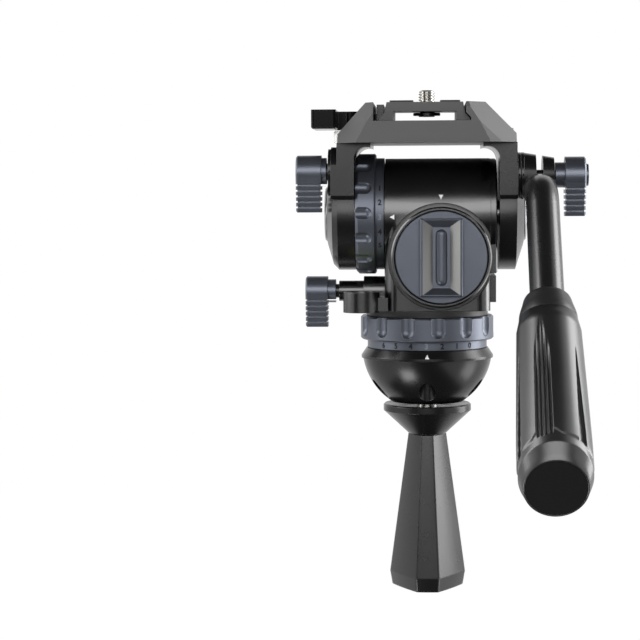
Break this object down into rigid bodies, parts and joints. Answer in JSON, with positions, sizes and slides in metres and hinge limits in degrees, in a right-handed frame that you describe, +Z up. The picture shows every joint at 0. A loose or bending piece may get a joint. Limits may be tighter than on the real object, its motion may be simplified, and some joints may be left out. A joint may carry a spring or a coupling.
{
  "type": "fluid video head",
  "caption": "Fluid video head on a half ball with tie-down handle, drag rings, counterbalance dial, quick-release camera plate and a bent pan bar.",
  "frame": {"origin": "centre of the half ball's sphere, where a bowl holds it", "axes": "+Z up along the pan axis, towards the camera screw; -Y towards the operator; +X to the right, the side of the pan bar"},
  "size_m": [0.1646, 0.2456, 0.2876],
  "materials": {
    "black_metal": "satin black anodised",
    "blue_grey": "blue-grey anodised",
    "steel": "turned steel",
    "black_tube": "black anodised, satin",
    "grip_rubber": "smooth soft grip",
    "pad_rubber": "matt rubber",
    "cap_plastic": "matt",
    "damper_plastic": "matt",
    "vial_glass": "clear",
    "cover_metal": "satin grey"
  },
  "bodies": {
    "base": {"half_ball": "black_metal", "pan_hub": "black_metal", "hub_screws": "steel", "pan_spindle": "steel", "spindle_nut": "steel", "pan_drag_cartridge": "damper_plastic", "tie_down_stud": "steel"},
    "tie_down_washer": {"tie_down_washer": "black_metal"},
    "tie_down_handle": {"tie_down_handle": "black_metal"},
    "pan_drag_ring": {"pan_drag_ring": "blue_grey"},
    "pan_body": {"turntable": "black_metal", "housing": "black_metal", "end_cover": "black_metal", "cover_screws": "steel", "pan_bearing_lower": "steel", "pan_bearing_upper": "steel", "tilt_bearing_left": "steel", "tilt_bearing_right": "steel", "tilt_drag_cartridge": "damper_plastic", "counterbalance_spring": "steel", "dial_bezel": "black_metal", "level_vial": "vial_glass", "pan_lock_shoe": "pad_rubber", "tilt_brake_disc": "steel"},
    "counterbalance_dial": {"counterbalance_dial": "blue_grey", "dial_spindle": "steel"},
    "tilt_drag_ring": {"tilt_drag_ring": "blue_grey"},
    "pan_lock_knob": {"pan_lock_knob": "blue_grey", "pan_lock_stud": "steel"},
    "tilt_platform": {"tilt_axle": "steel", "left_arm": "black_metal", "right_arm": "black_metal", "left_hub_cover": "cover_metal", "right_hub_cover": "cover_metal", "hub_cover_screws": "steel", "left_rosette": "black_metal", "right_rosette": "black_metal", "top_frame": "black_metal", "frame_bolts": "steel", "tilt_brake_shoe": "steel", "lever_pin": "steel", "lever_stop": "steel"},
    "tilt_lock_knob": {"tilt_lock_knob": "blue_grey", "tilt_lock_stud": "steel"},
    "plate_lever": {"plate_lever": "black_metal"},
    "plate_jaw": {"plate_jaw": "black_metal"},
    "camera_plate": {"camera_plate": "black_metal", "plate_pads": "pad_rubber"},
    "screw_washer": {"screw_washer": "cap_plastic"},
    "camera_screw": {"camera_screw": "steel"},
    "bar_clamp": {"bar_clamp": "black_metal", "bar_rosette": "black_metal"},
    "bar_clamp_knob": {"bar_clamp_knob": "blue_grey", "bar_clamp_stud": "steel"},
    "pan_bar": {"pan_bar": "black_tube", "grip_collar": "black_tube", "bar_grip": "grip_rubber", "grip_end_cap": "cap_plastic"}
  },
  "joints": [
    {"name": "pan", "type": "hinge", "parent": "base", "child": "pan_body", "pos_m": [0, 0, 0.03], "axis": [0, 0, 1], "continuous": true},
    {"name": "pan_drag_setting", "type": "hinge", "parent": "base", "child": "pan_drag_ring", "pos_m": [0, 0, 0.01], "axis": [0, 0, 1], "range_deg": [-46.5, 46.5]},
    {"name": "tie_down_travel", "type": "slide", "parent": "base", "child": "tie_down_washer", "axis": [0, 0, -1], "range_m": [0, 0.0035]},
    {"name": "tie_down_turn", "type": "hinge", "parent": "tie_down_washer", "child": "tie_down_handle", "pos_m": [0, 0, -0.09], "axis": [0, 0, -1], "range_deg": [0, 720]},
    {"name": "tilt", "type": "hinge", "parent": "pan_body", "child": "tilt_platform", "pos_m": [0, 0, 0.0769], "axis": [1, 0, 0], "range_deg": [-80, 60]},
    {"name": "tilt_drag_setting", "type": "hinge", "parent": "pan_body", "child": "tilt_drag_ring", "pos_m": [-0.03, 0, 0.0769], "axis": [1, 0, 0], "range_deg": [-45, 45]},
    {"name": "counterbalance_setting", "type": "hinge", "parent": "pan_body", "child": "counterbalance_dial", "pos_m": [0.008, -0.03, 0.0531], "axis": [0, -1, 0], "range_deg": [0, 324]},
    {"name": "pan_lock", "type": "hinge", "parent": "pan_body", "child": "pan_lock_knob", "pos_m": [-0.06, 0, 0.0325], "axis": [-1, 0, 0], "range_deg": [-90, 90]},
    {"name": "tilt_lock", "type": "hinge", "parent": "tilt_platform", "child": "tilt_lock_knob", "pos_m": [-0.06, -0.02, 0.101], "axis": [-1, 0, 0], "range_deg": [-90, 90]},
    {"name": "plate_lever", "type": "hinge", "parent": "tilt_platform", "child": "plate_lever", "pos_m": [-0.0465, 0.01, 0.13], "axis": [0, 0, -1], "range_deg": [0, 85]},
    {"name": "plate_jaw", "type": "slide", "parent": "tilt_platform", "child": "plate_jaw", "axis": [-1, 0, 0], "range_m": [0, 0.0012]},
    {"name": "plate_slide", "type": "slide", "parent": "tilt_platform", "child": "camera_plate", "axis": [0, 1, 0], "range_m": [-0.025, 0.025]},
    {"name": "screw_slide", "type": "slide", "parent": "camera_plate", "child": "screw_washer", "axis": [0, 1, 0], "range_m": [-0.0065, 0.0185]},
    {"name": "camera_screw_turn", "type": "hinge", "parent": "screw_washer", "child": "camera_screw", "pos_m": [0, 0, 0.14], "axis": [0, 0, 1], "continuous": true},
    {"name": "bar_angle", "type": "hinge", "parent": "tilt_platform", "child": "bar_clamp", "pos_m": [0.055, -0.02, 0.0986], "axis": [1, 0, 0], "range_deg": [-120, 12]},
    {"name": "bar_clamp_knob_turn", "type": "hinge", "parent": "bar_clamp", "child": "bar_clamp_knob", "pos_m": [0.08, -0.02, 0.0986], "axis": [1, 0, 0], "range_deg": [-90, 90]},
    {"name": "bar_twist", "type": "hinge", "parent": "bar_clamp", "child": "pan_bar", "pos_m": [0.0623, -0.045, 0.09], "axis": [0, -1, 0], "range_deg": [-90, 90]}
  ],
  "couplings": [
    {"joint": "tie_down_turn", "follows": "tie_down_travel", "rad_per_m": 3590.4},
    {"joint": "plate_jaw", "follows": "plate_lever", "m_per_rad": 0.00080888}
  ]
}
